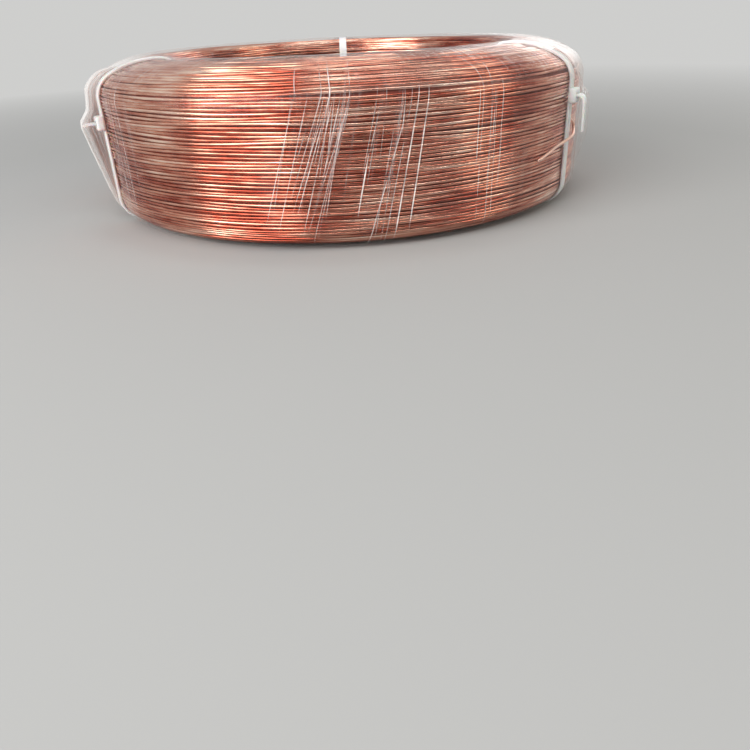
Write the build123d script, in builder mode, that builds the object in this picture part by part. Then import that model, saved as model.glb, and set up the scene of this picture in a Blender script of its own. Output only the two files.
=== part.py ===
from build123d import *

import os
from math import atan2, cos, degrees, hypot, radians, sin, sqrt
from typing import NamedTuple

# Copper tube coil: thin tube wound in nested layers to a ring, bound by three nylon
# ties under a clear stretch film. The ring lies flat on its end with its bore upright.
# The origin is on the axis of the bore, in the plane that the film rests on, and +Z is up.

# Winding
strand_od = 2.2
bore_r = 140
wound_width = 60
wound_height = 112
# The top end stands highest near the bore, and falls away towards the outer wall.
crown_in = 15
crown_fall = 15.5
lip_r = 10
shoulder_r = 18
foot_r = 14
# Some of the turns stand out as crests, joined by straight runs: every fourth layer on the top
# end, every eighth on the lower end and every tenth turn of the walls
top_pitch = 8
foot_pitch = 16
wall_pitch = 22
corner_runs = 2
# Free end of the tube: it leaves the winding beside a tie, hooks back over the strap and is cut
end_sink = 0.5
end_lift = 1.3
end_start = (329.3, 62)
end_hook_in = (331.5, 57.2)
end_hook = (331.7, 54.7)
end_hook_out = (331.2, 52.6)
end_over = (327, 50.8)
end_down = (321, 47)
end_cut = (313.5, 41)
end_bore = 0.8
end_bore_depth = 5

# Nylon ties
strap_w = 7.2
strap_t = 1.8
strap_gap = 0.15
head_w = 11
head_length = 10.5
head_h = 6.6
head_round = 1.2
slot_depth = 1
slot_play = 0.6
tail_bend_r = 3
left_head_z = 74
left_tail_out = 9
right_head_z = 79.5
right_tail_out = 5.5
right_tail_down = 25
back_head_z = 76


class Tie(NamedTuple):
    """Where a tie stands: angle round the ring, head height, reach and drop of its tail."""

    angle: float
    head_z: float
    tail_out: float
    tail_down: float


ties = {
    "cable_tie_left": Tie(206, left_head_z, left_tail_out, 0),
    "cable_tie_right": Tie(327, right_head_z, right_tail_out, right_tail_down),
    "cable_tie_back": Tie(88, back_head_z, 0, 0),
}

# Stretch film
film_wall = 0.3
film_gap = 0.15
tent_sink = 12
tent_above_floor = 12
tent_below_top = 22
tent_spread = 24
tent_play = 0.3

# Offsets from the copper, worked out from the pieces between
strap_out = strap_gap + strap_t
film_in = strap_out + film_gap
film_out = film_in + film_wall
base_z = film_out
top_z = base_z + wound_height
outer_r = bore_r + wound_width
crown_r = bore_r + crown_in
dome_r = ((outer_r - crown_r) ** 2 + crown_fall**2) / (2 * crown_fall)
dome_centre_z = top_z - dome_r


class Corner(NamedTuple):
    """Corner of the winding's section: an arc, and the folds of what is pulled taut round it."""

    centre_r: float
    centre_z: float
    radius: float
    first: float
    last: float
    folds: int


def corner_on_dome(centre_r, corner_r):
    """Height of a corner's centre and the angle where its arc runs into the dome."""
    across = centre_r - crown_r
    up = sqrt((dome_r - corner_r) ** 2 - across**2)
    return dome_centre_z + up, degrees(atan2(up, across))


shoulder_z, shoulder_angle = corner_on_dome(outer_r - shoulder_r, shoulder_r)
lip_z, lip_angle = corner_on_dome(bore_r + lip_r, lip_r)
inner_foot = Corner(bore_r + foot_r, base_z + foot_r, foot_r, 180, 270, 2)
outer_foot = Corner(outer_r - foot_r, base_z + foot_r, foot_r, 270, 360, 2)
shoulder = Corner(outer_r - shoulder_r, shoulder_z, shoulder_r, 0, shoulder_angle, 2)
dome = Corner(crown_r, dome_centre_z, dome_r, shoulder_angle, lip_angle, 1)
lip = Corner(bore_r + lip_r, lip_z, lip_r, lip_angle, 180, 1)


def radial_plane(angle):
    """Upright plane through the axis: local x runs outward and local y up."""
    return Plane(
        origin=(0, 0, 0),
        x_dir=(cos(radians(angle)), sin(radians(angle)), 0),
        z_dir=(sin(radians(angle)), -cos(radians(angle)), 0),
    )


def wall_plane(angle, radius):
    """Upright plane across a radius, facing outward: local x runs round the ring and local y up."""
    return Plane(
        origin=(radius * cos(radians(angle)), radius * sin(radians(angle)), 0),
        x_dir=(-sin(radians(angle)), cos(radians(angle)), 0),
        z_dir=(cos(radians(angle)), sin(radians(angle)), 0),
    )


def on_arc(corner, angle, offset=0):
    """Point at an angle on a corner's arc, set out from it by offset."""
    reach = corner.radius + offset
    return corner.centre_r + reach * cos(radians(angle)), corner.centre_z + reach * sin(radians(angle))


def turn_crests(start, end, pitch, sink):
    """Crests of the turns from start to end, with the turns between them sunk by half a turn."""
    width = end[0] - start[0]
    height = end[1] - start[1]
    runs = 2 * round(hypot(width, height) / pitch)
    points = []
    for run in range(runs + 1):
        share = run / runs
        points.append(sink(start[0] + width * share, start[1] + height * share, run % 2 * strand_od / 2))
    return points[1:-1]


def sink_in_dome(radius, height, depth):
    """Point of the bulging top end, sunk by a depth."""
    return radius, dome_centre_z + sqrt(dome_r**2 - (radius - crown_r) ** 2) - depth


def sink_in_foot(radius, height, depth):
    """Point of the flat lower end, sunk by a depth."""
    return radius, height + depth


def sink_in_wall(radius, height, depth):
    """Point of the outer wall, sunk by a depth."""
    return radius - depth, height


def sink_in_bore(radius, height, depth):
    """Point of the bore's wall, sunk by a depth."""
    return radius + depth, height


def crests_on(corner):
    """Crests of the turns round a corner: points on its arc, joined by straight runs."""
    step = (corner.last - corner.first) / corner_runs
    return [on_arc(corner, corner.first + step * run) for run in range(corner_runs + 1)]


def taut_outline(plane, offset):
    """Face inside the winding's section, set out by offset and pulled taut round its corners."""
    points = []
    for corner in (inner_foot, outer_foot, shoulder, dome, lip):
        step = (corner.last - corner.first) / corner.folds
        stand_off = (corner.radius + offset) / cos(radians(step / 2)) - corner.radius
        for fold in range(corner.folds):
            points.append(on_arc(corner, corner.first + step * (fold + 0.5), stand_off))
    with BuildSketch(plane) as sketch:
        Polygon(*points, align=None)
    return sketch.sketch


def on_winding(place, lift=0):
    """Point of the free end's centre line: its angle, height and lift off the winding."""
    angle, height = place
    radius = outer_r + strand_od / 2 - end_sink + lift
    return radius * cos(radians(angle)), radius * sin(radians(angle)), height


# Wound copper tube
with BuildPart() as tube_coil:
    with BuildSketch(Plane.XZ):
        Polygon(
            *crests_on(inner_foot),
            *turn_crests(on_arc(inner_foot, 270), on_arc(outer_foot, 270), foot_pitch, sink_in_foot),
            *crests_on(outer_foot),
            *turn_crests(on_arc(outer_foot, 360), on_arc(shoulder, 0), wall_pitch, sink_in_wall),
            *crests_on(shoulder),
            *turn_crests(on_arc(shoulder, shoulder_angle), on_arc(lip, lip_angle), top_pitch, sink_in_dome),
            *crests_on(lip),
            *turn_crests(on_arc(lip, 180), on_arc(inner_foot, 180), wall_pitch, sink_in_bore),
            align=None,
        )
    revolve(axis=Axis.Z)
    with BuildLine() as free_end:
        Polyline(
            on_winding(end_start, -strand_od),
            on_winding(end_hook_in),
            on_winding(end_hook),
            on_winding(end_hook_out),
            on_winding(end_over, end_sink + strap_out + end_lift),
            on_winding(end_down),
            on_winding(end_cut),
        )
    with BuildSketch(Plane(origin=free_end.line @ 0, z_dir=free_end.line % 0)):
        Circle(strand_od / 2)
    sweep(transition=Transition.RIGHT)
    with BuildSketch(Plane(origin=free_end.line @ 1, z_dir=free_end.line % 1)):
        Circle(end_bore / 2)
    extrude(amount=-end_bore_depth, mode=Mode.SUBTRACT)
tube_coil.part.label = "tube_coil"


def cable_tie(tie):
    """One nylon tie round the section: strap, head and the tail that leaves the head."""
    plane = radial_plane(tie.angle)
    head_face = outer_r + strap_gap + head_h
    head_middle = head_face - head_h / 2
    tail_end = head_face + tie.tail_out
    with BuildPart() as solid:
        extrude(taut_outline(plane, strap_out), strap_w / 2, both=True)
        extrude(taut_outline(plane, strap_gap), strap_w / 2, both=True, mode=Mode.SUBTRACT)
        with BuildSketch(wall_plane(tie.angle, outer_r + strap_gap)):
            with Locations((0, tie.head_z)):
                RectangleRounded(head_w, head_length, head_round)
        extrude(amount=head_h)
        with BuildSketch(wall_plane(tie.angle, head_face)):
            with Locations((0, tie.head_z)):
                Rectangle(strap_w + slot_play, strap_t + 2 * slot_play)
        extrude(amount=-slot_depth, mode=Mode.SUBTRACT)
        if tie.tail_down:
            with BuildSketch(plane):
                with BuildLine():
                    FilletPolyline(
                        (head_middle, tie.head_z),
                        (tail_end, tie.head_z),
                        (tail_end, tie.head_z - tie.tail_down),
                        radius=tail_bend_r,
                    )
                trace(line_width=strap_t)
            extrude(amount=strap_w / 2, both=True)
        else:
            with BuildSketch(wall_plane(tie.angle, head_middle)):
                with Locations((0, tie.head_z)):
                    Rectangle(strap_w, strap_t)
            extrude(amount=tail_end - head_middle)
    return solid.part


def tent(tie, skin):
    """Film pulled over a tie's head and tail: its side outline crossed with its plan, less a skin."""
    head_face = outer_r + strap_gap + head_h
    cover = film_wall + tent_play
    bent_tail = strap_t / 2 if tie.tail_down else 0
    crest_r = head_face + tie.tail_out + bent_tail + cover
    crest_low = tie.head_z - max(tie.tail_down + strap_t, head_length / 2) - cover
    sunk_r = outer_r - tent_sink
    half = head_w / 2 + cover
    with BuildPart() as solid:
        with BuildSketch(radial_plane(tie.angle)):
            Polygon(
                (sunk_r, tent_above_floor),
                (outer_r, tent_above_floor),
                (crest_r, crest_low),
                (crest_r, tie.head_z + strap_t / 2 + cover),
                (head_face + cover, tie.head_z + head_length / 2 + cover),
                (outer_r, top_z - tent_below_top),
                (sunk_r, top_z - tent_below_top),
                align=None,
            )
            offset(amount=-skin, kind=Kind.INTERSECTION)
        extrude(amount=half + tent_spread, both=True)
        with BuildSketch(Plane.XY.rotated((0, 0, tie.angle))):
            Polygon(
                (crest_r, -half),
                (crest_r, half),
                (outer_r, half + tent_spread),
                (sunk_r, half + tent_spread),
                (sunk_r, -half - tent_spread),
                (outer_r, -half - tent_spread),
                align=None,
            )
            offset(amount=-skin, kind=Kind.INTERSECTION)
        extrude(amount=top_z, mode=Mode.INTERSECT)
    return solid.part


# Stretch film, wrapped round the section through the bore
tents = [tent(tie, 0) for tie in ties.values()]
tent_insides = [tent(tie, film_wall) for tie in ties.values()]
with BuildPart() as stretch_film:
    revolve(taut_outline(Plane.XZ, film_out), Axis.Z)
    add(tents)
    revolve(taut_outline(Plane.XZ, film_in), Axis.Z, mode=Mode.SUBTRACT)
    add(tent_insides, mode=Mode.SUBTRACT)
stretch_film.part.label = "stretch_film"

os.makedirs("parts", exist_ok=True)
export_step(tube_coil.part, "parts/tube_coil.step")
export_step(stretch_film.part, "parts/stretch_film.step")
for name, tie in ties.items():
    solid = cable_tie(tie)
    solid.label = name
    export_step(solid, f"parts/{name}.step")
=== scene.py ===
import math
import random

import bmesh
import bpy
import numpy as np
from mathutils import Matrix, Vector


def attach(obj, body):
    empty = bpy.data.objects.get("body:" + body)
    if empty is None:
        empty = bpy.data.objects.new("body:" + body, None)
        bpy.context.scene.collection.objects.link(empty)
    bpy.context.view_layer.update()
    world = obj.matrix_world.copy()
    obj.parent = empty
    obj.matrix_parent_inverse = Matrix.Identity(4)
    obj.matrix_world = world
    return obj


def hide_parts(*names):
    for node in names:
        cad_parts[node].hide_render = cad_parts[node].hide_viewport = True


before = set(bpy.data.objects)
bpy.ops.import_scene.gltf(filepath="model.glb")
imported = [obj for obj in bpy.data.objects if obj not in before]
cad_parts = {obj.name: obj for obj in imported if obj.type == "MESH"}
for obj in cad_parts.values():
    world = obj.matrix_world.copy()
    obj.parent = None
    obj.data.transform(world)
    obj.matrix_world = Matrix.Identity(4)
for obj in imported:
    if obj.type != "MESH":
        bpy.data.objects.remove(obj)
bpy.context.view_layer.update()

# Copper tube coil under clear stretch film. Lengths are in millimetres and become metres in place().
MM = 0.001

# Winding, at the sizes of the CAD model
STRAND = 2.2
BORE_R = 140
OUTER_R = 200
BASE_Z = 2.4
TOP_Z = 114.4
CROWN_R = 155
DOME_R = 73.07
LIP_R = 10
SHOULDER_R = 18
FOOT_R = 14

# How a strand is drawn: faces across it, steps a turn, half of its drawn side in degrees, the pitch of its
# turns, and how much thinner it is, so that neighbours stay clear
STRAND_FACES = 7
STRAND_STEPS = 240
STRAND_OPEN = 105
STRAND_PITCH = 2.23
STRAND_SLACK = 0.03
# Unevenness of the turns, sideways and outward: size, reach in turns, waves added up, and most in one turn
WANDER = (0.46, 4.0, 9, 7)
FINE_WANDER = (0.12, 2.2, 12, 9)
LIFT = (0.36, 2.4, 12, 7)
# The layers below are one surface, a share of the strand under the face, with steps round it and along
CORE_DEPTH = 0.75
CORE_ROUND = 160
CORE_ALONG = 120

# A layer ends a little above the wall, and leaves a groove that is open over part of the ring: the angle of
# its middle, the cosine of the angle from there to where it has closed, and how fast it closes
GROOVE_ABOVE_SHOULDER = 8
GROOVE_WIDTH = 1.7
GROOVE_ANGLE = 325
GROOVE_CLOSED = 0.38
GROOVE_CLOSING = 5

# Free end of the tube: angle, height, and distance out from the turns of the wall
FREE_END = [
    (327.6, 63.4, -2.0),
    (329.3, 61.6, -0.6),
    (331.0, 58.6, 0.5),
    (331.7, 55.6, 0.6),
    (330.7, 53.2, 1.6),
    (328.6, 51.9, 3.2),
    (327.0, 50.8, 3.6),
    (325.0, 49.7, 3.0),
    (321.0, 47.0, 0.4),
    (317.2, 44.0, -0.3),
    (313.5, 41.0, -0.5),
]
# Its round has this many sides. Its cut shows the tube's bore, with a worn edge, a few steps of the path
# deep, and closed by a last ring that is nearly a point
FREE_END_SIDES = 12
TUBE_BORE_R = 0.4
CUT_EDGE = 0.05
CUT_DEPTH_STEPS = 4
CUT_CLOSED_R = 0.02

# Ties: angle round the ring, height of the head, and how far the tail stands out and hangs down
TIES = {
    "cable_tie_left": (206, 74, 9, 0),
    "cable_tie_right": (327, 79.5, 5.5, 25),
    "cable_tie_back": (88, 76, 0, 0),
}
STRAP_W = 7.2
STRAP_T = 1.8
STRAP_GAP = 0.15
STRAP_STEPS = 260
STRAP_EDGE = 0.5
STRAP_DIP = 0.15
# Head: width, height and depth, and the rounding of its edges
HEAD = (11, 10.5, 6.6)
HEAD_ROUNDING = 2.0
# Slot of the head round the tail
SLOT_SPACE = 1.2
SLOT_DEPTH = 1.5
SLOT_ROUNDING = 0.3
# Route of a long tail from the head's face, as (out, up), and of a short one, which sags at its end
LONG_TAIL = [(-3, 0), (1.5, 0.3), (4.4, -2.0), (5.2, -6.5), (5.4, -15)]
TAIL_ROOT = 3
TAIL_SAG = 0.8
# The tail narrows to a share of the strap, is closed by its section drawn in to a share, and has teeth
# between its rims
TAIL_NARROW = 0.5
TAIL_CAP = 0.02
TAIL_RIM = 1.2
TOOTH = 0.18

# Film: its distance from the winding, its deepest wave, which still clears the straps, and its highest
FILM_OUT = 2.2
FILM_IN = -0.2
FILM_BULGE = 0.25
# Its waves by seed: size, reach, waves added up, most waves round the ring
FILM_WAVES = {41: (0.16, 90, 10, 14), 43: (0.10, 40, 12, 40), 47: (0.08, 14, 16, 70)}
# Its steps along the section, each from the mark named, and round the ring in degrees, finer near a tie
FILM_STEPS = [("outer_foot", 1.7), ("dome_end", 1.8), ("lip_end", 3.5), ("inner_foot", 3.5)]
FILM_TURN = 1.0
FILM_FINE_TURN = 0.25
NEAR_TIE = 8
# Where the film is gathered into milky folds beside a tie: from the near edge to where it has faded out, in
# mm, and how milky it is under the tie's head and over it
GATHERS = [
    ("cable_tie_left", 3, -75, 0.60, 0.60),
    ("cable_tie_right", -3, 80, 0.00, 0.50),
    # The next gather is a faint wide veil over the right wall: partly film haze, partly painted light that
    # lifts the wall's mid tones.
    ("cable_tie_right", 0, -160, 0.045, 0.03),
    ("cable_tie_back", 0, -26, 0.28, 0.28),
    ("cable_tie_back", 0, 26, 0.28, 0.28),
]
# How ragged a gather's far edge is, how fast it sets in and fades out, over what length it fades at the
# foot and the lip, and between which heights about the head it changes
GATHER_RAGGED = (6, 36, 7, 1)
GATHER_RISE = 9
GATHER_FALL = 1.8
GATHER_FADE = 24
GATHER_CHANGE = (-5, 25)
# Tent over a tie: its foot beside the head, how much wider it gets as it stands off, and how hollow its
# sides are
TENT_FOOT = 8
TENT_SLOPE = 1.5
TENT_HOLLOW = 1.2
# Crest of the tent over each tie, as radius and height in the tie's radial plane, from the top down
CRESTS = {
    "cable_tie_left": [
        (184, 112), (204, 104), (207.9, 99), (209, 92), (210.5, 84), (216.6, 76), (217, 71.5), (213.4, 54.4),
        (209.8, 38.7), (207.0, 26), (203.5, 14), (200, 9),
    ],
    "cable_tie_right": [
        (186, 111.8), (198, 105), (203, 98), (206.5, 90), (208.5, 86), (213.5, 80), (214.5, 66), (214.6, 54),
        (210, 38), (205.5, 24), (202.5, 12), (200, 9),
    ],
    "cable_tie_back": [
        (188, 111), (203, 98), (207.3, 86), (207.6, 80), (207.6, 68), (204, 40), (202.5, 12), (200, 9),
    ],
}

# The film's plainest creases: angle and height of the upper and the lower end, width and strength
CREASES = [
    (270.0, 97.0, 265.9, 49.9, 0.55, 0.60),
    (268.8, 97.8, 261.5, 14.2, 0.55, 0.60),
    (274.3, 64.1, 271.7, 23.4, 0.80, 0.95),
    (276.3, 86.9, 274.4, 62.9, 0.55, 0.60),
    (285.6, 98.2, 281.2, 11.1, 0.70, 0.95),
    (283.8, 98.6, 278.3, 6.1, 0.75, 0.90),
    (281.6, 90.2, 272.9, 3.0, 0.55, 0.60),
    (281.2, 98.0, 280.3, 72.0, 0.60, 0.60),
]
PLAIN_RIDGE = 0.2
# Bundles of fine creases: centre angle, spread, count, slant in degrees a mm, width and strength
BUNDLES = [
    (266.5, 5.5, 24, 0.085, 0.45, 0.50),
    (277.0, 4.0, 8, 0.066, 0.35, 0.30),
    (282.0, 2.5, 6, 0.056, 0.35, 0.30),
    (298.5, 3.2, 12, 0.010, 0.35, 0.40),
    (221.0, 7.0, 12, 0.000, 0.30, 0.25),
    (200.0, 4.0, 12, 0.000, 0.70, 0.70),
    (336.0, 5.0, 10, 0.000, 0.60, 0.25),
]
# More bundles round the back: how many, the angle of the first and the step to the next
BACK_BUNDLES = 7
BACK_ANGLE = 352
BACK_STEP = 26
# How a crease is drawn: step along it, fewest rows, rows and share of its taper, and distance from the film
CREASE_STEP = 3
CREASE_ROWS = 8
CREASE_TAPER = 4
CREASE_TIP = 0.1
CREASE_LIFT = 0.05

# Tones, from the darkest strands to the brightest, and roughness of the copper, of its free end, whose
# brighter copper is a painted highlight, of the layers below and of the ties
COPPER = [
    (0.32, (0.17, 0.018, 0.009)),
    (0.43, (0.41, 0.092, 0.052)),
    (0.54, (0.69, 0.33, 0.23)),
    (0.66, (0.94, 0.69, 0.56)),
]
COPPER_ROUGH = (0.15, 0.24)
FREE_END_LIT_COPPER = [(0.35, (0.94, 0.56, 0.44)), (0.65, (0.99, 0.70, 0.58))]
FREE_END_ROUGH = (0.34, 0.42)
# The layers below are painted dark: their colour is painted shade in the gaps between the strands.
SHADED_CORE_COPPER = [(0.35, (0.12, 0.020, 0.012)), (0.65, (0.24, 0.05, 0.03))]
INNER_ROUGH = 0.55
NYLON = [(0.3, (0.80, 0.82, 0.81)), (0.7, (0.90, 0.92, 0.91))]
NYLON_ROUGH = (0.32, 0.5)
# Colour of milky film, which is also its painted sheen where it turns away, and of a crease in it, which is
# partly a painted glint
MILK_AND_SHEEN = (0.92, 0.90, 0.87)
CREASE_WHITE_AND_GLINT = (0.98, 0.90, 0.87)

# Colour of the background, and of the floor near the coil, which turns into it between two distances in m
BACKGROUND = (0.62, 0.62, 0.61)
FLOOR = (0.42, 0.42, 0.41)
FLOOR_NEAR = 0.45
FLOOR_FAR = 1.3
FLOOR_REACH = 20
# Dark cloth hung round behind the camera: the direction of its middle, its distance and its top in m, its
# angles from, to and by, its rows, and the cosines between which its soft edge lies
CLOTH_MIDDLE = (0.45, -0.88, 0.12)
CLOTH_R = 3
CLOTH_TOP = 4.5
CLOTH_ANGLES = (-80, 101, 6)
CLOTH_ROWS = 12
CLOTH_EDGE = (0.38, 0.66)
CLOTH_BLACK = (0.02, 0.02, 0.02)
# Light of the pale room on the coil: its colour, its strength at the horizon and above, and the height
# where it has reached the second
ROOM = (0.96, 0.97, 1.0)
ROOM_STRENGTH = (0.24, 0.48)
ROOM_TOP = 0.9
# Soft boxes: place in m, width and height in m, power in W and colour; all point at AIM
WHITE = (1, 1, 1)
LAMPS = {
    "left_box": ((-1.02, -1.03, 0.6), (1.15, 1.15), 26, WHITE),
    "front_box": ((0.4, -1.2, 1.5), (3.0, 0.14), 14, WHITE),
    "top_box": ((0.1, 0.3, 1.9), (0.8, 0.3), 4, WHITE),
    "right_box": ((1.5, -0.5, 0.9), (0.8, 0.3), 5, (1.0, 0.93, 0.80)),
    "back_box": ((0.9, 1.3, 0.6), (1.2, 0.4), 4, WHITE),
}
AIM = (0, 0, 0.06)
# Camera: its place and its near and far limits in m, its lens in mm, and its tilt, roll and heading in
# degrees
CAMERA_PLACE = (0, -0.62664, 0.141)
CAMERA_RANGE = (0.02, 50)
CAMERA_LENS = 31.68
CAMERA_TURN = (60.97, 2.36, -2.959)


class Outline:
    """The winding's section: radius, height and outward normal at a distance along it, in mm."""

    ARC_POINTS = 40

    def __init__(self):
        dome_z = TOP_Z - DOME_R
        shoulder_r, lip_r = OUTER_R - SHOULDER_R, BORE_R + LIP_R
        shoulder_z = dome_z + math.sqrt((DOME_R - SHOULDER_R) ** 2 - (shoulder_r - CROWN_R) ** 2)
        lip_z = dome_z + math.sqrt((DOME_R - LIP_R) ** 2 - (lip_r - CROWN_R) ** 2)
        shoulder_a = math.degrees(math.atan2(shoulder_z - dome_z, shoulder_r - CROWN_R))
        lip_a = math.degrees(math.atan2(lip_z - dome_z, lip_r - CROWN_R))
        arcs = {
            "outer_foot": (OUTER_R - FOOT_R, BASE_Z + FOOT_R, FOOT_R, 270, 360),
            "shoulder": (shoulder_r, shoulder_z, SHOULDER_R, 0, shoulder_a),
            "dome": (CROWN_R, dome_z, DOME_R, shoulder_a, lip_a),
            "lip": (lip_r, lip_z, LIP_R, lip_a, 180),
            "inner_foot": (BORE_R + FOOT_R, BASE_Z + FOOT_R, FOOT_R, 180, 270),
        }
        points, self.mark = [], {}
        for name, (r, z, radius, first, last) in arcs.items():
            self.mark[name] = len(points)
            for a in np.radians(np.linspace(first, last, self.ARC_POINTS)):
                points.append((r + radius * math.cos(a), z + radius * math.sin(a), math.cos(a), math.sin(a)))
            self.mark[name + "_end"] = len(points) - 1
        points.append(points[0])
        self.table = np.array(points)
        steps = np.hypot(np.diff(self.table[:, 0]), np.diff(self.table[:, 1]))
        self.s = np.concatenate([[0], np.cumsum(steps)])
        self.length = float(self.s[-1])
        self.mark = {name: float(self.s[i]) for name, i in self.mark.items()}

    def at(self, s, out=0.0):
        """Radius, height and normal at distance s, set out along the normal."""
        s = np.mod(s, self.length)
        r, z, nr, nz = (np.interp(s, self.s, self.table[:, k]) for k in range(4))
        size = np.hypot(nr, nz)
        nr, nz = nr / size, nz / size
        return r + out * nr, z + out * nz, nr, nz


OUTLINE = Outline()
MARK = OUTLINE.mark


def place(radius, theta, z, across=0.0):
    """Points in metres from radius, angle in radians, height and a sideways shift, all in mm."""
    x = radius * np.cos(theta) - across * np.sin(theta)
    y = radius * np.sin(theta) + across * np.cos(theta)
    return np.stack(np.broadcast_arrays(x, y, z), axis=-1) * MM


def ripple(seed, theta, along, size, reach, waves, most):
    """Smooth seeded unevenness of about a given size that closes round the ring and drifts along it."""
    rng = random.Random(seed)
    total = 0
    for _ in range(waves):
        turns = rng.randint(1, most)
        drift = rng.uniform(-1, 1) * 2 * math.pi / reach
        height, start = rng.uniform(0.5, 1), rng.uniform(0, 2 * math.pi)
        total = total + height * np.sin(turns * theta + drift * along + start)
    return size * (total / math.sqrt(waves / 2) / 1.1)


def add_object(name, data):
    """Object of a mesh, a lamp or the camera, in the scene."""
    obj = bpy.data.objects.new(name, data)
    bpy.context.scene.collection.objects.link(obj)
    return obj


def mesh_object(name, points, faces, uv=None, smooth=True):
    """Object of points in metres and faces, with the winding's coordinates where they are given."""
    mesh = bpy.data.meshes.new(name)
    mesh.from_pydata(points, [], faces)
    mesh.polygons.foreach_set("use_smooth", [smooth] * len(mesh.polygons))
    if uv is not None:
        layer = mesh.uv_layers.new(name="wound")
        corner = np.empty(len(mesh.loops), dtype=np.int32)
        mesh.loops.foreach_get("vertex_index", corner)
        layer.data.foreach_set("uv", np.reshape(uv, (-1, 2))[corner].astype(np.float32).ravel())
    mesh.update()
    return add_object(name, mesh)


def grid_quads(rows, columns, close_rows=False, close_columns=False):
    """Corners of the quads between the points of a grid."""
    index = np.arange(rows * columns).reshape(rows, columns)
    if close_rows:
        index = np.vstack([index, index[:1]])
    if close_columns:
        index = np.hstack([index, index[:, :1]])
    return np.stack([index[:-1, :-1], index[:-1, 1:], index[1:, 1:], index[1:, :-1]], axis=-1).reshape(-1, 4)


def grid_object(name, points, close_rows=False, close_columns=False, uv=None, flip=False, smooth=True):
    """Object of quads over a grid of points (rows, columns, 3), in metres."""
    quads = grid_quads(*points.shape[:2], close_rows, close_columns)
    if flip:
        quads = quads[:, ::-1]
    return mesh_object(name, points.reshape(-1, 3).tolist(), quads.tolist(), uv, smooth)


def piece(obj, node, material):
    """Gives a piece its material and its place on the body, and hides the CAD part of the node that it stands
    for.
    """
    obj.data.materials.clear()
    obj.data.materials.append(material)
    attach(obj, "root")
    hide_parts(node)
    return obj


# Materials


class Nodes:
    """The node tree of a material or a world, with short calls to add and join nodes."""

    def __init__(self, owner):
        self.owner = owner
        owner.use_nodes = True
        self.tree = owner.node_tree
        self.tree.nodes.clear()

    def add(self, kind, inputs=None, **settings):
        """Node of a kind, with its inputs set or linked."""
        node = self.tree.nodes.new(kind)
        for key, value in settings.items():
            setattr(node, key, value)
        for key, value in (inputs or {}).items():
            if isinstance(value, bpy.types.NodeSocket):
                self.tree.links.new(value, node.inputs[key])
            else:
                node.inputs[key].default_value = value
        return node

    def coordinates(self, kind="Object"):
        """Place of the point, in metres, or its direction."""
        return self.add("ShaderNodeTexCoord").outputs[kind]

    def wound(self):
        """The winding's own coordinates: along the strand and across it."""
        return self.add("ShaderNodeUVMap", uv_map="wound").outputs["UV"]

    def noise(self, vector, scale, detail=2.0, roughness=0.5):
        """Noise about 0.5."""
        node = self.add(
            "ShaderNodeTexNoise", {"Vector": vector, "Scale": scale, "Detail": detail, "Roughness": roughness}
        )
        return node.outputs["Fac"]

    def wound_noise(self, along, across, detail=2.0, roughness=0.5):
        """Noise in the winding's own coordinates, with its scale along the strand and across it."""
        scaled = self.add("ShaderNodeMapping", {"Vector": self.wound(), "Scale": (along, across, 1)})
        return self.noise(scaled.outputs["Vector"], 1.0, detail, roughness)

    def ramp(self, fac, stops):
        """Colour ramp from a list of (position, colour)."""
        node = self.add("ShaderNodeValToRGB", {"Fac": fac})
        while len(node.color_ramp.elements) < len(stops):
            node.color_ramp.elements.new(0.5)
        for element, (position, colour) in zip(node.color_ramp.elements, stops):
            element.position = position
            element.color = (*colour, 1)
        return node.outputs["Color"]

    def spread(self, value, low, high, first=0.0, last=1.0):
        """Maps a value from first..last to low..high."""
        node = self.add(
            "ShaderNodeMapRange",
            {"Value": value, "From Min": first, "From Max": last, "To Min": low, "To Max": high},
        )
        return node.outputs["Result"]

    def math(self, operation, a, b=0.0, clamp=False):
        """Sum, product and the like of two values."""
        node = self.add("ShaderNodeMath", {0: a, 1: b}, operation=operation, use_clamp=clamp)
        return node.outputs[0]

    def bump(self, height, strength, distance):
        """Normal with fine relief, distance in metres."""
        node = self.add("ShaderNodeBump", {"Height": height, "Strength": strength, "Distance": distance})
        return node.outputs["Normal"]

    def principled(self, **inputs):
        """Principled shader, with its inputs named in small letters."""
        names = {key.replace("_", " ").title(): value for key, value in inputs.items()}
        return self.add("ShaderNodeBsdfPrincipled", names).outputs["BSDF"]

    def see_through(self):
        """Shader that lets everything through."""
        return self.add("ShaderNodeBsdfTransparent").outputs[0]

    def mix(self, share, first, second):
        """Mix of two shaders, with a share of the second."""
        return self.add("ShaderNodeMixShader", {0: share, 1: first, 2: second}).outputs[0]

    def output(self, shader, kind="ShaderNodeOutputMaterial"):
        """Ends the tree and returns its material or world."""
        self.add(kind, {"Surface": shader})
        return self.owner


def new_material(name):
    """Nodes of a new material."""
    return Nodes(bpy.data.materials.new(name))


def copper_material(name, tones, roughness):
    """Bright drawn copper: every strand has its own tone, with slow patches of tarnish."""
    n = new_material(name)
    strand = n.wound_noise(23, 0.4, detail=3.0, roughness=0.6)
    patch = n.noise(n.coordinates(), 11.0)
    tone = n.math("ADD", n.math("MULTIPLY", strand, 0.65), n.math("MULTIPLY", patch, 0.35))
    rough = n.spread(n.wound_noise(30, 0.7), *roughness, first=0.3, last=0.7)
    drawn_lines = n.bump(n.wound_noise(40, 14), 0.05, 0.0001)
    colour = n.ramp(tone, tones)
    return n.output(n.principled(base_color=colour, metallic=1.0, roughness=rough, normal=drawn_lines))


def core_shade_material():
    """Copper of the layers below, which shows only between the strands, darkened as painted shade."""
    n = new_material("inner_copper_painted_shade")
    colour = n.ramp(n.noise(n.coordinates(), 60.0), SHADED_CORE_COPPER)
    return n.output(n.principled(base_color=colour, metallic=1.0, roughness=INNER_ROUGH))


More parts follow.
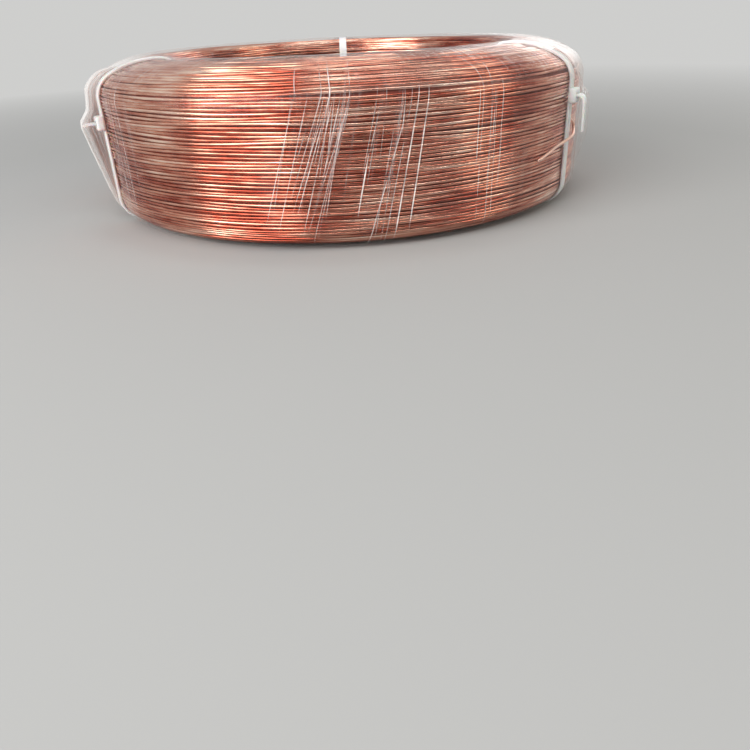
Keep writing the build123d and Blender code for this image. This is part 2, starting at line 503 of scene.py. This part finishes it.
def film_material():
    """Clear stretch film: see-through face on, milky where it lies in folds, and whiter where it turns away,
    partly as haze seen through more film and partly as painted sheen.
    """
    n = new_material("clear_film")
    folds = n.bump(n.wound_noise(0.30, 0.020, detail=3.0), 0.5, 0.002)
    cloud = n.wound_noise(0.03, 0.012)
    streaks = n.wound_noise(0.40, 0.010, detail=3.0)
    edge = n.add("ShaderNodeLayerWeight", {"Blend": 0.5, "Normal": folds}).outputs["Facing"]
    gathers = n.add("ShaderNodeAttribute", attribute_name="gathered").outputs["Fac"]
    gathers = n.math("MULTIPLY", gathers, n.spread(streaks, 0.3, 1.4, first=0.35, last=0.65))
    clouded = n.spread(cloud, 0.0, 0.04, first=0.54, last=0.84)
    # Whiter where the film turns away from the view: partly haze through a longer path of film, partly
    # painted sheen.
    grazing_haze_and_sheen = n.spread(edge, 0.0, 0.20, first=0.66, last=1.0)
    milk = n.math("ADD", n.math("ADD", clouded, grazing_haze_and_sheen), gathers, clamp=True)
    white = n.principled(base_color=(*MILK_AND_SHEEN, 1), roughness=0.35, normal=folds)
    body = n.mix(milk, n.see_through(), white)
    mirror = {"Color": (*WHITE, 1), "Roughness": 0.26, "Normal": folds}
    gloss = n.add("ShaderNodeBsdfGlossy", mirror).outputs[0]
    shine = n.math("ADD", n.math("MULTIPLY", n.math("POWER", edge, 5.0), 0.28), 0.018)
    return n.output(n.mix(shine, body, gloss))


def crease_glint_material():
    """A crease of the film, where several layers lie together, whitened partly by those layers and partly as
    a painted glint: its own strength is in its coordinates.
    """
    n = new_material("film_crease")
    along = n.wound_noise(0.06, 1)
    own = n.add("ShaderNodeSeparateXYZ", {0: n.wound()}).outputs["Y"]
    strength = n.math("MULTIPLY", own, n.spread(along, 0.35, 1.15, first=0.36, last=0.60), clamp=True)
    # Crease white: partly the layers of film lying together, partly a painted glint.
    white = n.principled(base_color=(*CREASE_WHITE_AND_GLINT, 1), roughness=0.25)
    return n.output(n.mix(strength, n.see_through(), white))


def nylon_material():
    """Natural nylon of the ties."""
    n = new_material("white_nylon")
    colour = n.ramp(n.noise(n.coordinates(), 160.0), NYLON)
    rough = n.spread(n.noise(n.coordinates(), 420.0), *NYLON_ROUGH)
    return n.output(
        n.principled(base_color=colour, roughness=rough, subsurface_weight=0.2, subsurface_scale=0.002)
    )


# Copper


def groove_opening(theta):
    """Width of the groove above the wall at an angle: open about GROOVE_ANGLE, closed elsewhere."""
    toward = np.cos(theta - math.radians(GROOVE_ANGLE))
    return GROOVE_WIDTH * np.clip((toward - GROOVE_CLOSED) * GROOVE_CLOSING, 0, 1)


def wound_turns(name, first, last, seed, material, below_groove=False):
    """A stretch of the winding: one strand laid turn beside turn, with the unevenness of a real one."""
    count = round((last - first) / STRAND_PITCH)
    turn = np.arange(count * STRAND_STEPS + 1) / STRAND_STEPS
    theta = turn * 2 * math.pi
    pitch = (last - first) / count
    wander = ripple(seed, theta, turn, *WANDER) + ripple(seed + 1, theta, turn, *FINE_WANDER)
    lift = ripple(seed + 2, theta, turn, *LIFT)
    shove = -groove_opening(theta) * turn / count if below_groove else 0
    r, z, nr, nz = OUTLINE.at(first + turn * pitch + wander + shove, -STRAND / 2)
    r, z = r + lift * nr, z + lift * nz
    angle = np.radians(np.linspace(-STRAND_OPEN, STRAND_OPEN, STRAND_FACES + 1))
    radius = STRAND / 2 - STRAND_SLACK
    across, out = radius * np.sin(angle), radius * np.cos(angle)
    rr = r[:, None] + out * nr[:, None] - across * nz[:, None]
    zz = z[:, None] + out * nz[:, None] + across * nr[:, None]
    points = place(rr, theta[:, None], zz)
    uv = np.stack(np.broadcast_arrays(turn[:, None], np.linspace(0, 1, STRAND_FACES + 1)), axis=-1)
    return piece(grid_object(name, points, uv=uv, flip=True), "tube_coil", material)


def core(material):
    """The layers below the outer one, as one surface whose dark colour is painted shade between the strands.
    """
    s = np.linspace(0, OUTLINE.length, CORE_ALONG, endpoint=False)
    r, z, _, _ = OUTLINE.at(s, -STRAND * CORE_DEPTH)
    theta = np.linspace(0, 2 * math.pi, CORE_ROUND, endpoint=False)
    points = place(r[None, :], theta[:, None], z[None, :])
    obj = grid_object("inner_layers", points, close_rows=True, close_columns=True, flip=True)
    return piece(obj, "tube_coil", material)


def smooth_path(points, steps):
    """Catmull-Rom curve through points, as an array."""
    p = np.array(points, dtype=float)
    p = np.vstack([2 * p[0] - p[1], p, 2 * p[-1] - p[-2]])
    out = []
    for a, b, c, d in zip(p, p[1:], p[2:], p[3:]):
        bend, sway = 2 * a - 5 * b + 4 * c - d, 3 * b - a - 3 * c + d
        for t in np.linspace(0, 1, steps, endpoint=False):
            out.append(0.5 * (2 * b + (c - a) * t + bend * t**2 + sway * t**3))
    out.append(p[-2])
    return np.array(out)


def directions(path):
    """Direction of a path at each of its points."""
    tangent = np.gradient(path, axis=0)
    return tangent / np.linalg.norm(tangent, axis=1)[:, None]


def tube_rings(path, rings):
    """Grid of points for a round tube: at each (index of the path, radius) a ring of points."""
    tangent = directions(path)
    normal = np.cross(tangent[0], (0, 0, 1))
    frames = []
    for t in tangent:
        normal = normal - t * normal.dot(t)
        normal /= np.linalg.norm(normal)
        frames.append((normal.copy(), np.cross(t, normal)))
    angle = np.linspace(0, 2 * math.pi, FREE_END_SIDES, endpoint=False)
    grid = []
    for index, radius in rings:
        a, b = frames[index]
        grid.append(path[index] + radius * MM * (np.cos(angle)[:, None] * a + np.sin(angle)[:, None] * b))
    return np.array(grid)


def free_end(material):
    """The strand's cut end: it comes out beside the right tie, hooks back over the strap and is cut open."""
    points = [place(OUTER_R + STRAND / 2 + out, math.radians(a), z) for a, z, out in FREE_END]
    path = smooth_path(points, 8)
    last = len(path) - 1
    bottom = last - CUT_DEPTH_STEPS
    rings = [(i, STRAND / 2) for i in range(last)]
    rings += [(last, STRAND / 2 - CUT_EDGE), (last, TUBE_BORE_R + CUT_EDGE), (bottom, TUBE_BORE_R)]
    grid = tube_rings(path, [*rings, (bottom, CUT_CLOSED_R)])
    along, across = np.linspace(0, 0.1, len(grid)), np.linspace(0, 1, grid.shape[1])
    uv = np.stack(np.broadcast_arrays(along[:, None], across), axis=-1)
    return piece(grid_object("free_end", grid, close_columns=True, uv=uv), "tube_coil", material)


# Ties


def strap(name, angle, material):
    """A tie's strap, pulled tight round the section, with rims along its outer face."""
    s = np.linspace(0, OUTLINE.length, STRAP_STEPS, endpoint=False)
    low, high, side, rim = STRAP_GAP, STRAP_GAP + STRAP_T, STRAP_W / 2, STRAP_W / 2 - STRAP_EDGE
    ring = [
        (low, -side), (low, side), (high - STRAP_EDGE, side), (high, rim),
        (high - STRAP_DIP, rim - STRAP_EDGE), (high - STRAP_DIP, STRAP_EDGE - rim),
        (high, -rim), (high - STRAP_EDGE, -side),
    ]
    out, across = np.array(ring).T
    r, z, nr, nz = OUTLINE.at(s)
    across = np.broadcast_to(across, (len(s), len(ring)))
    radius, height = r[:, None] + out * nr[:, None], z[:, None] + out * nz[:, None]
    points = place(radius, math.radians(angle), height, across)
    obj = grid_object(name + "_strap", points, close_rows=True, close_columns=True, flip=True)
    return piece(obj, name, material)


def rounded_box(name, size, centre, theta, round_by):
    """A bevelled box on a radial plane: size is sideways, upright and radial."""
    bm = bmesh.new()
    bmesh.ops.create_cube(bm, size=1)
    bmesh.ops.scale(bm, vec=(size[2], size[0], size[1]), verts=bm.verts)
    bmesh.ops.bevel(bm, geom=bm.edges[:], offset=round_by, segments=3, profile=0.5, affect="EDGES")
    mesh = bpy.data.meshes.new(name)
    bm.to_mesh(mesh)
    bm.free()
    mesh.transform(Matrix.Rotation(theta, 4, "Z") @ Matrix.Translation(Vector(centre)))
    mesh.transform(Matrix.Scale(MM, 4))
    mesh.polygons.foreach_set("use_smooth", [True] * len(mesh.polygons))
    return add_object(name, mesh)


def cut(obj, cutter):
    """Takes a cutter's shape out of an object."""
    modifier = obj.modifiers.new("slot", "BOOLEAN")
    modifier.operation = "DIFFERENCE"
    modifier.object = cutter
    depsgraph = bpy.context.evaluated_depsgraph_get()
    mesh = bpy.data.meshes.new_from_object(obj.evaluated_get(depsgraph))
    obj.modifiers.clear()
    obj.data = mesh
    bpy.data.objects.remove(cutter)


def tie_head(name, angle, height, material):
    """A tie's head: a rounded block with the slot that the tail comes out of."""
    theta = math.radians(angle)
    middle = OUTER_R + STRAP_GAP + HEAD[2] / 2
    face = middle + HEAD[2] / 2
    head = rounded_box(name + "_head", HEAD, (middle, 0, height), theta, HEAD_ROUNDING)
    slot_size = (STRAP_W + SLOT_SPACE, STRAP_T + SLOT_SPACE, 2 * SLOT_DEPTH)
    cut(head, rounded_box(name + "_slot", slot_size, (face, 0, height), theta, SLOT_ROUNDING))
    return piece(head, name, material)


def tail_section(share, tooth):
    """Corners of a tail's section as (out, across), where it is narrowed to a share of the strap."""
    half, side = STRAP_T / 2 * (0.4 + 0.6 * share), STRAP_W / 2 * share
    rim = side - TAIL_RIM
    toothed = half - tooth
    return [(-half, -side), (-half, side), (half, side), (toothed, rim), (toothed, -rim), (half, -side)]


def tie_tail(name, angle, height, reach, drop, material):
    """The cut tail of a tie: it leaves the head outward, and hangs down where it is long."""
    theta = math.radians(angle)
    face = OUTER_R + STRAP_GAP + HEAD[2]
    if drop:
        line = [(face + out, height + up) for out, up in LONG_TAIL] + [(face + reach, height - drop)]
    else:
        line = [(face - TAIL_ROOT, height), (face + reach / 2, height), (face + reach, height - TAIL_SAG)]
    path = smooth_path(line, 10)
    tangent = directions(path)
    normal = np.stack([-tangent[:, 1], tangent[:, 0]], axis=1)
    teeth = TOOTH * (np.arange(len(path)) % 2)
    narrow = np.linspace(1, TAIL_NARROW, len(path))
    grid = []
    for p, upward, tooth, share in zip(path, normal, teeth, narrow):
        corners = [(p + upward * out, across) for out, across in tail_section(share, tooth)]
        grid.append([place(q[0], theta, q[1], across) for q, across in corners])
    grid = np.array(grid)
    caps = [end.mean(axis=0) + (end - end.mean(axis=0)) * TAIL_CAP for end in (grid[0], grid[-1])]
    grid = np.concatenate([caps[:1], grid, caps[1:]])
    obj = grid_object(name + "_tail", grid, close_columns=True, smooth=False)
    return piece(obj, name, material)


# Film


def crest_line(line):
    """Turns a crest's (radius, height) points into distances along the section and stand-offs from it."""
    s = np.linspace(MARK["outer_foot"], MARK["dome_end"], 900)
    r, z, _, _ = OUTLINE.at(s)
    pairs = []
    for radius, height in line:
        gap = np.hypot(r - radius, z - height)
        pairs.append((s[gap.argmin()], gap.min()))
    return np.array(sorted(pairs)).T


TENTS = {name: crest_line(line) for name, line in CRESTS.items()}


def beside(name, theta):
    """Distance to the side of a tie, in mm round the ring."""
    return (np.mod(theta - math.radians(TIES[name][0]) + math.pi, 2 * math.pi) - math.pi) * OUTER_R


def tent_out(theta, s):
    """How far the film stands off the winding over the ties' heads and tails, in mm."""
    total = np.zeros(np.broadcast(theta, s).shape)
    for name, (places, outs) in TENTS.items():
        crest = np.interp(s, places, outs, left=0, right=0)
        spread = TENT_FOOT + TENT_SLOPE * crest
        share = np.clip(1 - (np.abs(beside(name, theta)) - HEAD[0] / 2) / spread, 0, 1)
        total = np.maximum(total, crest * share**TENT_HOLLOW)
    return total


def gathered(theta, s):
    """How far the film is gathered into milky folds, from 0 to 1."""
    total = np.zeros(np.broadcast(theta, s).shape)
    height = np.clip(np.minimum(s - MARK["outer_foot"], MARK["dome_end"] - s) / GATHER_FADE, 0, 1)
    ragged = ripple(61, 0, s, *GATHER_RAGGED)
    for name, near, far, under, over in GATHERS:
        share = (beside(name, theta) - near) / (far - near + np.sign(far) * ragged)
        inside = np.clip(1 + share * GATHER_RISE, 0, 1) * np.clip((1 - share) * GATHER_FALL, 0, 1)
        head = MARK["outer_foot_end"] + TIES[name][1] - BASE_Z - FOOT_R
        amount = np.interp(s, [head + GATHER_CHANGE[0], head + GATHER_CHANGE[1]], [under, over])
        total = np.maximum(total, amount * inside * height)
    return total


def film_out(theta, s):
    """The film's distance from the winding: nearly tight, with slow waves and the tents."""
    waves = sum(ripple(seed, theta, s, *wave) for seed, wave in FILM_WAVES.items())
    return np.maximum(FILM_OUT + np.clip(waves, FILM_IN, FILM_BULGE), tent_out(theta, s))


def film_angles():
    """Angles round the ring, closer together near the ties."""
    angles = set(np.round(np.arange(0, 360, FILM_TURN), 3))
    near = np.arange(-NEAR_TIE, NEAR_TIE + FILM_FINE_TURN / 2, FILM_FINE_TURN)
    for angle, *_ in TIES.values():
        angles |= set(np.round(angle + near, 3) % 360)
    return np.radians(np.array(sorted(angles)))


def film_distances():
    """Distances along the section, closer together where the camera looks."""
    starts = [MARK[name] for name, _ in FILM_STEPS]
    ends = [*starts[1:], OUTLINE.length]
    spans = []
    for first, last, (_, step) in zip(starts, ends, FILM_STEPS):
        spans.append(np.linspace(first, last, round((last - first) / step), endpoint=False))
    return np.concatenate(spans)


def film(material):
    """The film as one skin wrapped round the section through the bore."""
    theta, s = film_angles()[:, None], film_distances()[None, :]
    out = film_out(theta, s)
    r, z, nr, nz = OUTLINE.at(s)
    points = place(r + out * nr, theta, z + out * nz)
    uv = np.stack(np.broadcast_arrays(theta * OUTER_R, s), axis=-1)
    obj = grid_object("film_skin", points, close_rows=True, close_columns=True, uv=uv, flip=True)
    milky = obj.data.attributes.new(name="gathered", type="FLOAT", domain="POINT")
    milky.data.foreach_set("value", gathered(theta, s).astype(np.float32).ravel())
    return piece(obj, "stretch_film", material)


def crease_rows(angles, distances, width, height):
    """Rows of points for one crease: a thin ridge on the film through angles in degrees and distances."""
    count = max(CREASE_ROWS, int((distances[-1] - distances[0]) / CREASE_STEP))
    s = np.linspace(distances[0], distances[-1], count)
    theta = np.radians(np.interp(s, distances, angles))
    from_end = np.minimum(np.arange(count), np.arange(count)[::-1])
    taper = np.clip(from_end / CREASE_TAPER, CREASE_TIP, 1)
    out = film_out(theta, s) + CREASE_LIFT
    r, z, nr, nz = OUTLINE.at(s)
    rows = []
    for side, rise in ((-0.5, 0), (0, 1), (0.5, 0)):
        lift = out + rise * height * taper
        rows.append(place(r + lift * nr, theta, z + lift * nz, side * width * taper))
    return np.stack(rows, axis=1)


def plain_creases():
    """The single creases that stand out in the photo, as (rows of points, strength)."""
    s = np.linspace(MARK["outer_foot"], MARK["dome"], 400)
    heights = OUTLINE.at(s)[1]
    for top, high, bottom, low, width, strength in CREASES:
        ends = np.interp([low, high], heights, s)
        yield crease_rows([bottom, top], ends, width, PLAIN_RIDGE), strength


def fine_creases(rng):
    """Bundles of fine creases: those of the photo, and more of their kind round the back."""
    back = []
    for k in range(BACK_BUNDLES):
        centre = BACK_ANGLE + BACK_STEP * k + rng.uniform(-6, 6)
        back.append((centre, rng.uniform(2, 6), rng.randint(8, 16), rng.uniform(-0.02, 0.09), 0.45, 0.45))
    bend = MARK["shoulder"] + GROOVE_ABOVE_SHOULDER
    for centre, spread, count, slant, width, strength in BUNDLES + back:
        for _ in range(count):
            start = MARK["outer_foot"] + 4 + rng.uniform(0, 60)
            end = bend + rng.choice([-3, 0, 2, 5, 30])
            angle = centre + rng.uniform(-spread, spread)
            wall, top = slant * rng.uniform(0.6, 1.4), rng.uniform(-0.08, 0.08)
            distances = [start, min(bend, end - 1), end]
            angles = [angle + (d - bend) * (wall if d <= bend else top) for d in distances]
            rows = crease_rows(angles, distances, width * rng.uniform(0.5, 1.3), rng.uniform(0.08, 0.2))
            yield rows, strength * rng.choice([0.4, 0.6, 1.0, 1.5])


def creases(material):
    """All creases of the film as one piece."""
    rng = random.Random(5)
    points, faces, uv = [], [], []
    for rows, strength in [*plain_creases(), *fine_creases(rng)]:
        faces += (len(points) + grid_quads(*rows.shape[:2])).tolist()
        points += rows.reshape(-1, 3).tolist()
        offset = rng.uniform(0, 900)
        uv += [(offset + CREASE_STEP * i, strength) for i, row in enumerate(rows) for _ in row]
    return piece(mesh_object("film_creases", points, faces, uv), "stretch_film", material)


# Stage


def shows_background(n):
    """One for the rays that show the plain background: the camera's, and those of metal and clear film."""
    rays = n.add("ShaderNodeLightPath").outputs
    seen = n.math("MAXIMUM", rays["Is Camera Ray"], rays["Is Glossy Ray"])
    return n.math("MAXIMUM", seen, rays["Is Transmission Ray"])


def floor():
    """Plain floor that takes the shadow near the coil, and far from it is as pale as the background."""
    n = new_material("pale_floor")
    distance = n.add("ShaderNodeVectorMath", {0: n.coordinates()}, operation="LENGTH").outputs["Value"]
    near = n.add("ShaderNodeBsdfDiffuse", {"Color": (*FLOOR, 1)}).outputs[0]
    plain = n.add("ShaderNodeEmission", {"Color": (*BACKGROUND, 1), "Strength": 1.0}).outputs[0]
    away = n.spread(distance, 0.0, 1.0, first=FLOOR_NEAR, last=FLOOR_FAR)
    far = n.math("MULTIPLY", away, shows_background(n), clamp=True)
    reach = (-FLOOR_REACH, FLOOR_REACH)
    obj = grid_object("floor", np.array([[(x, y, 0) for x in reach] for y in reach]), flip=True)
    obj.data.materials.append(n.output(n.mix(far, near, plain)))


def dark_cloth():
    """Black cloth with soft edges behind the camera: metal shows it as its dark side, the camera doesn't."""
    n = new_material("black_cloth")
    toward = n.add("ShaderNodeVectorMath", {0: n.coordinates()}, operation="NORMALIZE").outputs[0]
    facing = n.add("ShaderNodeVectorMath", {0: toward, 1: CLOTH_MIDDLE}, operation="DOT_PRODUCT")
    cover = n.spread(facing.outputs["Value"], 0.0, 1.0, *CLOTH_EDGE)
    cloth = n.add("ShaderNodeBsdfDiffuse", {"Color": (*CLOTH_BLACK, 1)}).outputs[0]
    angles = np.radians(np.arange(*CLOTH_ANGLES))
    heights = np.linspace(MM, CLOTH_TOP, CLOTH_ROWS)
    points = np.array([[(CLOTH_R * np.sin(a), -CLOTH_R * np.cos(a), z) for a in angles] for z in heights])
    obj = grid_object("dark_cloth", points)
    obj.data.materials.append(n.output(n.mix(cover, n.see_through(), cloth)))
    obj.visible_camera = False


def lamp(name, where, size, power, colour):
    """A soft area lamp that points at AIM."""
    data = bpy.data.lights.new(name, "AREA")
    data.shape = "RECTANGLE"
    data.size, data.size_y = size
    data.energy = power
    data.color = colour
    obj = add_object(name, data)
    obj.location = where
    obj.rotation_euler = (Vector(AIM) - Vector(where)).to_track_quat("-Z", "Y").to_euler()


def pale_room():
    """The world: a pale room that lights the coil most from overhead, behind the plain background."""
    n = Nodes(bpy.data.worlds.new("studio"))
    up = n.add("ShaderNodeSeparateXYZ", {0: n.coordinates("Generated")}).outputs["Z"]
    strength = n.spread(up, *ROOM_STRENGTH, last=ROOM_TOP)
    room = n.add("ShaderNodeBackground", {"Color": (*ROOM, 1), "Strength": strength}).outputs[0]
    plain = n.add("ShaderNodeBackground", {"Color": (*BACKGROUND, 1)}).outputs[0]
    bpy.context.scene.world = n.output(n.mix(shows_background(n), room, plain), "ShaderNodeOutputWorld")


def camera():
    """The photo's camera, from the fit of the coil's outline."""
    data = bpy.data.cameras.new("camera")
    data.lens = CAMERA_LENS
    data.clip_start, data.clip_end = CAMERA_RANGE
    obj = add_object("camera", data)
    obj.location = CAMERA_PLACE
    obj.rotation_euler = [math.radians(angle) for angle in CAMERA_TURN]
    bpy.context.scene.camera = obj


def build():
    """The whole coil, then its stage."""
    copper = copper_material("drawn_copper", COPPER, COPPER_ROUGH)
    groove = MARK["shoulder"] + GROOVE_ABOVE_SHOULDER
    wound_turns("bottom_turns", MARK["inner_foot"], OUTLINE.length, 11, copper)
    wound_turns("outer_turns", MARK["outer_foot"], groove, 21, copper, below_groove=True)
    wound_turns("shoulder_turns", groove, MARK["shoulder_end"], 26, copper)
    wound_turns("top_turns", MARK["shoulder_end"], MARK["lip_end"], 31, copper)
    wound_turns("bore_turns", MARK["lip_end"], MARK["inner_foot"], 41, copper)
    core(core_shade_material())
    # The free end gets a brighter copy of the copper: a painted highlight.
    free_end(copper_material("free_end_lit_copper", FREE_END_LIT_COPPER, FREE_END_ROUGH))
    nylon = nylon_material()
    for name, (angle, height, reach, drop) in TIES.items():
        strap(name, angle, nylon)
        tie_head(name, angle, height, nylon)
        if reach:
            tie_tail(name, angle, height, reach, drop, nylon)
    film(film_material())
    creases(crease_glint_material())
    floor()
    dark_cloth()
    for name, (where, size, power, colour) in LAMPS.items():
        lamp(name, where, size, power, colour)
    pale_room()
    camera()


build()
bpy.context.scene.view_settings.view_transform = "Standard"
